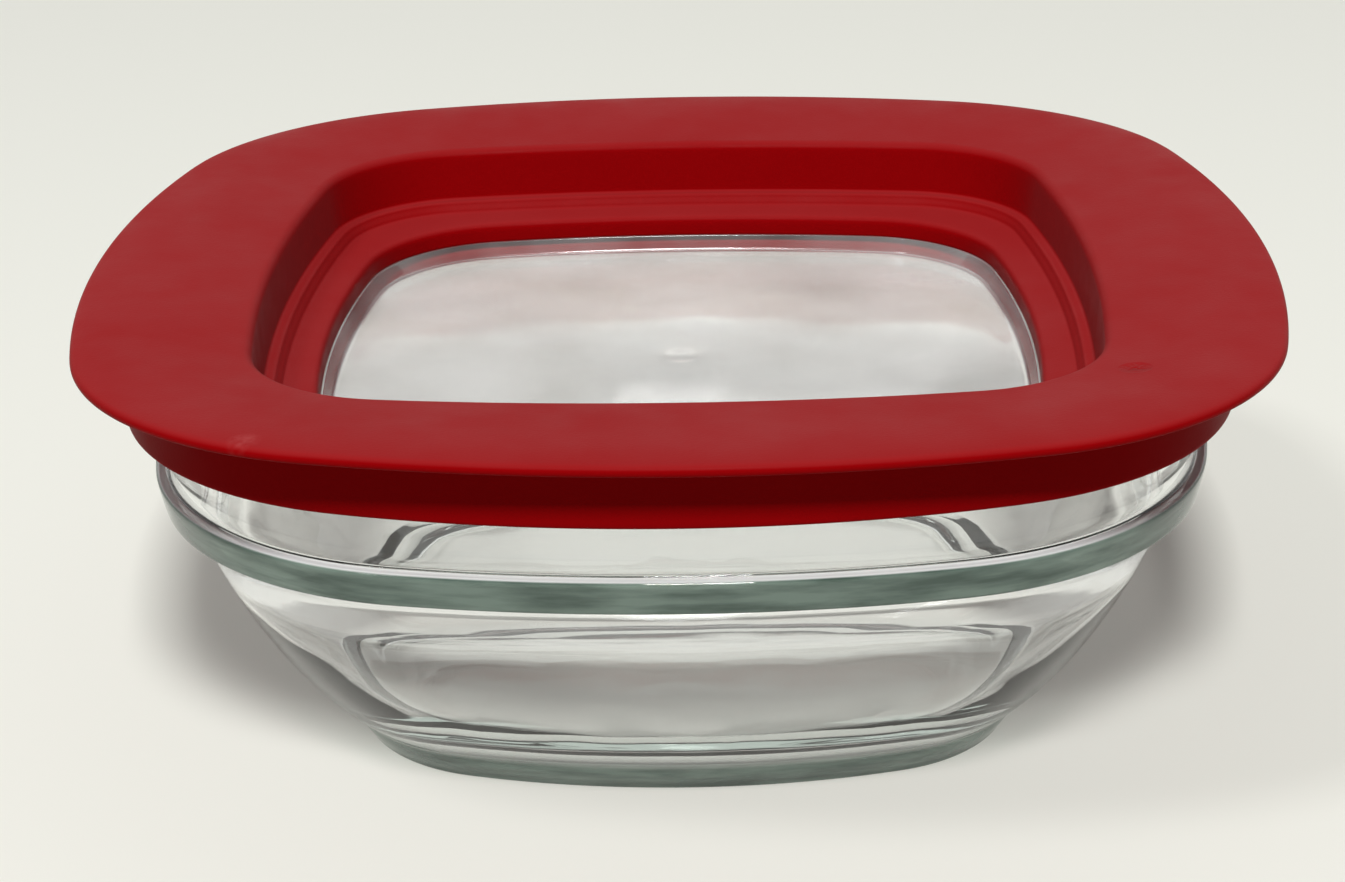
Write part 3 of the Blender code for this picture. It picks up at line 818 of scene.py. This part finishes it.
class GlassBowlSettings(bpy.types.PropertyGroup):
    """Finish of the glass bowl."""

    tint: FloatVectorProperty(
        name="Glass tint",
        description="Colour that light keeps on its way through the glass",
        subtype="COLOR",
        size=3,
        min=0.0,
        max=1.0,
        default=(0.08, 0.30, 0.20),
    )
    tint_depth: FloatProperty(
        name="Tint depth",
        description="How much colour the glass takes per metre of its thickness",
        min=0.0,
        default=6.0,
    )
    # Partly the green of thick glass, partly painted shade
    thick_tint_and_shade: FloatVectorProperty(
        name="Thick glass",
        description="Colour of the thick band and foot",
        subtype="COLOR",
        size=3,
        min=0.0,
        max=1.0,
        default=(0.21, 0.29, 0.24),
    )
    # Darker streaks of painted shade in the thick glass
    streak_tint_and_shade: FloatVectorProperty(
        name="Thick glass streaks",
        description="Colour of the darker streaks in the thick band and foot",
        subtype="COLOR",
        size=3,
        min=0.0,
        max=1.0,
        default=(0.07, 0.115, 0.09),
    )
    # Painted highlight: a pale colour on the ledge that stands in for the bright line of light along it
    ledge_highlight_colour: FloatVectorProperty(
        name="Ledge",
        description="Colour of the worn ledge on top of the band",
        subtype="COLOR",
        size=3,
        min=0.0,
        max=1.0,
        default=(0.93, 0.97, 0.96),
    )
    # How much of the thick glass shows its painted tint and shade in place of clear glass
    thick_paint_cover: FloatProperty(
        name="Thick glass cover",
        description="How much of the thick glass's look is its own colour",
        subtype="FACTOR",
        min=0.0,
        max=1.0,
        default=0.86,
    )
    # How much of the ledge shows its painted highlight in place of clear glass
    ledge_highlight_cover: FloatProperty(
        name="Ledge cover",
        description="How much of the ledge's look is its worn surface",
        subtype="FACTOR",
        min=0.0,
        max=1.0,
        default=0.85,
    )
    unevenness: FloatProperty(
        name="Unevenness",
        description="Depth of the slow waves that pressing leaves in the glass faces",
        unit="LENGTH",
        min=0.0,
        default=0.12 * MM,
    )


class LidRimSettings(bpy.types.PropertyGroup):
    """Finish of the lid's soft rim."""

    colour: FloatVectorProperty(
        name="Rim colour",
        description="Colour of the soft plastic",
        subtype="COLOR",
        size=3,
        min=0.0,
        max=1.0,
        default=(0.275, 0.0008, 0.002),
    )
    # Painted sheen: the paler colour of upward faces, standing in for the light that they reflect
    painted_sheen_colour: FloatVectorProperty(
        name="Worn colour",
        description="Colour of the upward faces, dulled by dust and washing",
        subtype="COLOR",
        size=3,
        min=0.0,
        max=1.0,
        default=(0.305, 0.0165, 0.018),
    )
    scuff_colour: FloatVectorProperty(
        name="Scuff colour",
        description="Colour of the scuff on the flange's edge",
        subtype="COLOR",
        size=3,
        min=0.0,
        max=1.0,
        default=(0.42, 0.07, 0.07),
    )


class LidWindowSettings(bpy.types.PropertyGroup):
    """Finish of the lid's window."""

    clearness: FloatProperty(
        name="Clearness",
        description="Share of the light that passes straight through the window",
        subtype="FACTOR",
        min=0.0,
        max=1.0,
        default=0.86,
    )
    # The range of the window's patches: partly haziness, partly painted highlights
    haze_and_highlights: FloatProperty(
        name="Haze",
        description="How far the window's clearness varies in soft patches",
        subtype="FACTOR",
        min=0.0,
        max=1.0,
        default=0.1,
    )


class StageSettings(bpy.types.PropertyGroup):
    """Floor, light and camera."""

    floor_colour: FloatVectorProperty(
        name="Floor colour",
        description="Colour of the plain floor and backdrop",
        subtype="COLOR",
        size=3,
        min=0.0,
        max=1.0,
        default=(0.87, 0.87, 0.80),
    )
    bounce_colour: FloatVectorProperty(
        name="Floor bounce",
        description="Colour of the floor as far as it throws light back on the container",
        subtype="COLOR",
        size=3,
        min=0.0,
        max=1.0,
        default=(0.45, 0.45, 0.42),
    )
    front_power: FloatProperty(
        name="Front light",
        description="Power of the soft lamp above and in front, in watts",
        min=0.0,
        default=106.0,
    )
    side_power: FloatProperty(
        name="Side light",
        description="Power of the soft lamp above and on the left, in watts",
        min=0.0,
        default=44.0,
    )
    surround: FloatProperty(
        name="Surround",
        description="Level of the soft light from the sides and from behind",
        min=0.0,
        default=0.36,
    )
    front_surround: FloatProperty(
        name="Front surround",
        description="Level of the soft light from the front, where the room is dim",
        min=0.0,
        default=0.08,
    )
    backdrop: FloatProperty(
        name="Backdrop",
        description="Level of the pale surroundings behind, as the camera, gloss and glass show them",
        min=0.0,
        default=0.85,
    )
    front_backdrop: FloatProperty(
        name="Front backdrop",
        description="Level of the dim room in front, as gloss and glass show it",
        min=0.0,
        default=0.3,
    )
    camera_distance: FloatProperty(
        name="Camera distance",
        description="Distance from the camera to the point that it looks at",
        unit="LENGTH",
        min=0.1,
        default=0.4299,
    )
    camera_turn: FloatProperty(
        name="Camera turn",
        description="Angle round the container, from straight in front",
        subtype="ANGLE",
        default=math.radians(1.05),
    )
    camera_rise: FloatProperty(
        name="Camera rise",
        description="Angle of the view above the horizon",
        subtype="ANGLE",
        default=math.radians(22.08),
    )
    camera_roll: FloatProperty(
        name="Camera roll",
        description="Angle of the camera about its own line of sight",
        subtype="ANGLE",
        default=math.radians(-1.19),
    )
    camera_lens: FloatProperty(
        name="Camera lens",
        description="Focal length in millimetres on a sensor 36 mm wide",
        min=1.0,
        default=70.3,
    )


class CONTAINER_OT_glass_bowl(bpy.types.Operator):
    """Model the pressed-glass bowl"""

    bl_idname = "container.glass_bowl"
    bl_label = "Glass Bowl"

    def execute(self, context):
        recess = FOOT.inset(FOOT_RING_WIDTH + FOOT_RECESS)
        piece = start_ring("bowl_of_pressed_glass", MIDDLE, FOOT_RECESS)
        draw_wall([(recess.blend(CENTRE, HALFWAY), FOOT_RECESS), (recess, FOOT_RECESS)])
        draw_wall(bowl_sections())
        material = pressed_glass(context.scene.container_bowl)
        finish_shape(piece, "bowl", "glass_bowl", material)
        mark_thick_glass(piece)
        return {"FINISHED"}


class CONTAINER_OT_lid_rim(bpy.types.Operator):
    """Model the lid's soft rim"""

    bl_idname = "container.lid_rim"
    bl_label = "Lid Rim"

    def execute(self, context):
        sections = rim_sections()
        outline, height, sway = sections[0]
        piece = start_ring("rim_of_soft_plastic", outline, height)
        lay_ring(outline, height, sway)
        draw_wall(sections[1:])
        draw_wall(sections[:1])
        material = soft_plastic(context.scene.container_rim)
        finish_shape(piece, "lid", "lid_rim", material)
        return {"FINISHED"}


class CONTAINER_OT_lid_window(bpy.types.Operator):
    """Model the clear window in the lid"""

    bl_idname = "container.lid_window"
    bl_label = "Lid Window"

    def execute(self, context):
        gate_mark = circle(GATE_MARK_RADIUS)
        piece = start_ring("window_of_clear_plastic", gate_mark, PANE_FLOOR - GATE_MARK_DEPTH)
        draw_wall([(circle(times * GATE_MARK_RADIUS), PANE_FLOOR) for times in GATE_MARK_RINGS])
        draw_wall(pane_sections())
        material = clear_plastic(context.scene.container_window)
        finish_shape(piece, "lid", "lid_window", material)
        return {"FINISHED"}


class CONTAINER_OT_stage(bpy.types.Operator):
    """Lay the floor, hang the lights and set the camera"""

    bl_idname = "container.stage"
    bl_label = "Stage"

    def execute(self, context):
        settings = context.scene.container_stage
        lay_floor(settings)
        light_world(settings)
        hang_light("front_softbox", FRONT_PLACE, FRONT_SIZE, settings.front_power)
        hang_light("side_softbox", SIDE_PLACE, SIDE_SIZE, settings.side_power)
        set_camera(settings)
        return {"FINISHED"}


def lay_floor(settings):
    """A wide, plain, pale floor."""
    bpy.ops.object.select_all(action="DESELECT")
    bpy.ops.mesh.primitive_plane_add(size=FLOOR_SIZE)
    floor = bpy.context.object
    floor.name = "stage_floor"
    bpy.ops.object.mode_set(mode="EDIT")
    bpy.ops.mesh.select_all(action="SELECT")
    bpy.ops.transform.translate(value=(0.0, 0.0, -FLOOR_GAP))
    bpy.ops.object.mode_set(mode="OBJECT")
    made, tree, shader = new_material("stage_pale")
    colour = mix_colours(tree, seen_directly(tree), settings.bounce_colour, settings.floor_colour)
    tree.links.new(colour.outputs["Result"], shader.inputs["Base Color"])
    shader.inputs["Roughness"].default_value = FLOOR_ROUGHNESS
    shader.inputs["Specular IOR Level"].default_value = FLOOR_SPECULAR
    floor.data.materials.append(made)


def grade_by_depth(tree, place, front, back):
    """A level that grows from the room in front to the backdrop behind."""
    apart = add_node(tree, "ShaderNodeSeparateXYZ")
    tree.links.new(place.outputs["Generated"], apart.inputs["Vector"])
    return ranged(tree, apart.outputs["Y"], ROOM_FRONT, ROOM_BACK, front, back)


def light_world(settings):
    """A dim surround, lighter behind, which the camera, gloss and glass see as a pale backdrop."""
    world = bpy.data.worlds.new("stage_surround")
    bpy.context.scene.world = world
    world.use_nodes = True
    tree = world.node_tree
    light = tree.nodes["Background"]
    light.inputs["Color"].default_value = (*SURROUND_COLOUR, 1.0)
    place = add_node(tree, "ShaderNodeTexCoord")
    lit = grade_by_depth(tree, place, settings.front_surround, settings.surround)
    tree.links.new(lit, light.inputs["Strength"])
    seen = add_node(tree, "ShaderNodeBackground", {"Color": (*BACKDROP_COLOUR, 1.0)})
    shown = grade_by_depth(tree, place, settings.front_backdrop, settings.backdrop)
    tree.links.new(shown, seen.inputs["Strength"])
    light, seen = light.outputs["Background"], seen.outputs["Background"]
    show_either(tree, seen_directly(tree), light, seen, "World Output")


def hang_light(name, place, size, power):
    """A soft rectangular lamp that faces the container."""
    lamp = bpy.data.lights.new(name, "AREA")
    lamp.shape = "RECTANGLE"
    lamp.size, lamp.size_y = size
    lamp.energy = power
    holder = bpy.data.objects.new(name, lamp)
    holder.location = place
    holder.rotation_euler = (Vector(LIGHT_TARGET) - Vector(place)).to_track_quat("-Z", "Y").to_euler()
    bpy.context.scene.collection.objects.link(holder)


def set_camera(settings):
    """The photograph's view of the container."""
    scene = bpy.context.scene
    lens = bpy.data.cameras.new("photo_view")
    lens.sensor_width = CAMERA_SENSOR
    lens.lens = settings.camera_lens
    lens.clip_start = CAMERA_NEAREST
    holder = bpy.data.objects.new("photo_view", lens)
    scene.collection.objects.link(holder)
    turn, rise = settings.camera_turn, settings.camera_rise
    back = Vector((math.sin(turn) * math.cos(rise), -math.cos(turn) * math.cos(rise), math.sin(rise)))
    right = (-back).cross(Vector((0.0, 0.0, 1.0))).normalized()
    up = right.cross(-back)
    place = Vector(CAMERA_AIM) + back * settings.camera_distance
    facing = Matrix((right, up, back)).transposed() @ Matrix.Rotation(settings.camera_roll, 3, "Z")
    holder.matrix_world = Matrix.Translation(place) @ facing.to_4x4()
    scene.camera = holder
    scene.view_settings.view_transform = "Standard"


class CONTAINER_PT_dressing(bpy.types.Panel):
    """The container's pieces and their finishes"""

    bl_idname = "CONTAINER_PT_dressing"
    bl_label = "Glass Container"
    bl_space_type = "VIEW_3D"
    bl_region_type = "UI"
    bl_category = "Container"

    def draw(self, context):
        for operator, group in OPERATORS:
            box = self.layout.box()
            box.operator(operator)
            settings = getattr(context.scene, group)
            for name in settings.__annotations__:
                box.prop(settings, name)


# Each operator with the settings that it reads, in the order in which they run
OPERATORS = (
    ("container.glass_bowl", "container_bowl"),
    ("container.lid_rim", "container_rim"),
    ("container.lid_window", "container_window"),
    ("container.stage", "container_stage"),
)
SETTINGS = {
    "container_bowl": GlassBowlSettings,
    "container_rim": LidRimSettings,
    "container_window": LidWindowSettings,
    "container_stage": StageSettings,
}
CLASSES = (
    *SETTINGS.values(),
    CONTAINER_OT_glass_bowl,
    CONTAINER_OT_lid_rim,
    CONTAINER_OT_lid_window,
    CONTAINER_OT_stage,
    CONTAINER_PT_dressing,
)


def register():
    for kind in CLASSES:
        bpy.utils.register_class(kind)
    for name, kind in SETTINGS.items():
        setattr(bpy.types.Scene, name, PointerProperty(type=kind))


def unregister():
    for name in SETTINGS:
        delattr(bpy.types.Scene, name)
    for kind in reversed(CLASSES):
        bpy.utils.unregister_class(kind)


def main():
    """Model every piece and the stage."""
    register()
    bpy.ops.container.glass_bowl()
    bpy.ops.container.lid_rim()
    bpy.ops.container.lid_window()
    bpy.ops.container.stage()


if __name__ == "__main__":
    main()
